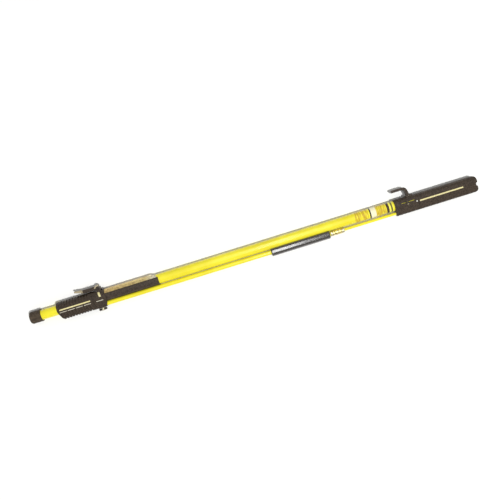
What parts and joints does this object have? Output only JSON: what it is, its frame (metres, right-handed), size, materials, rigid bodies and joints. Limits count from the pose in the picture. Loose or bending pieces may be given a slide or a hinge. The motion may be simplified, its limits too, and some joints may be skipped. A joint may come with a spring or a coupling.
{
  "type": "roller extension pole",
  "caption": "Telescoping paint roller pole with a cam-lever handle clamp, a guide rail with grip and collet beside the tube, a hanging hook and a tool socket at the end.",
  "frame": {"origin": "centre of the butt cap's end face, on the axis of the two telescoping tubes", "axes": "+X along the pole towards the tool socket, +Y towards the hanging hook, +Z away from the surface the pole lies on; the guide rail is on the -Y side"},
  "size_m": [1.2, 0.0746, 0.0388],
  "materials": {
    "yellow_tube": "gloss powder coat",
    "inner_tube": "satin powder coat",
    "rod_steel": "gloss powder coat on a solid rod",
    "cap_rubber": "matt moulded rubber",
    "black_plastic": "fine textured moulding",
    "grip_gloss": "gloss vinyl",
    "beige_tab": "matt moulding",
    "tan_plate": "yellow zinc plated sheet",
    "brass": "turned",
    "steel": "zinc plated",
    "black_steel": "black oxide",
    "white_rivet": "moulded drive rivet",
    "grey_strip": "moulded inlay",
    "pale_key": "moulded inlay, pale yellow",
    "label_film": "shrink film with printed bands",
    "bush_nylon": "natural nylon"
  },
  "bodies": {
    "shaft": {"outer_tube": "yellow_tube", "butt_cap": "cap_rubber", "front_bush": "bush_nylon", "hook_collar": "black_plastic", "hanging_hook": "black_plastic", "hook_pin": "steel", "collar_screw": "steel", "collar_rivets": "white_rivet", "rod_bush": "bush_nylon", "label_sleeve": "label_film"},
    "head": {"inner_tube": "inner_tube", "inner_bush": "bush_nylon", "head_shell": "black_plastic", "socket_liner": "bush_nylon", "guide_rod": "rod_steel", "rod_tip": "bush_nylon", "rod_pin": "steel", "head_screws": "steel", "head_key": "pale_key"},
    "handle": {"handle_front": "black_plastic", "handle_back": "black_plastic", "handle_screws": "steel", "index_strips": "grey_strip", "clamp_collar": "black_plastic", "lever_pin": "black_steel", "thumb_insert": "brass", "guide_sleeve": "black_plastic", "saddle_plate": "tan_plate", "saddle_rivets": "tan_plate", "rail_tube": "yellow_tube", "rail_grip": "grip_gloss", "rail_ferrule": "steel", "collet_body": "brass", "collet_cap": "steel", "handle_key": "pale_key", "clamp_pad": "pale_key"},
    "lever": {"cam_lever": "black_plastic", "lever_tab": "beige_tab", "hub_cap": "beige_tab"},
    "thumbscrew": {"thumb_hub": "steel", "thumb_bar": "black_plastic"},
    "collet": {"collet_nut": "brass"}
  },
  "joints": [
    {"name": "head_slide", "type": "slide", "parent": "shaft", "child": "head", "axis": [1, 0, 0], "range_m": [0, 0.43]},
    {"name": "handle_slide", "type": "slide", "parent": "shaft", "child": "handle", "axis": [1, 0, 0], "range_m": [-0.04, 0.12]},
    {"name": "lever_hinge", "type": "hinge", "parent": "handle", "child": "lever", "pos_m": [0.19, 0.0219, 0], "axis": [0, 0, -1], "range_deg": [0, 110]},
    {"name": "thumb_turn", "type": "hinge", "parent": "handle", "child": "thumbscrew", "pos_m": [0.1862, -0.0288, 0], "axis": [0, -1, 0], "continuous": true},
    {"name": "collet_turn", "type": "hinge", "parent": "handle", "child": "collet", "pos_m": [0.8211, -0.0206, 0], "axis": [1, 0, 0], "continuous": true}
  ]
}
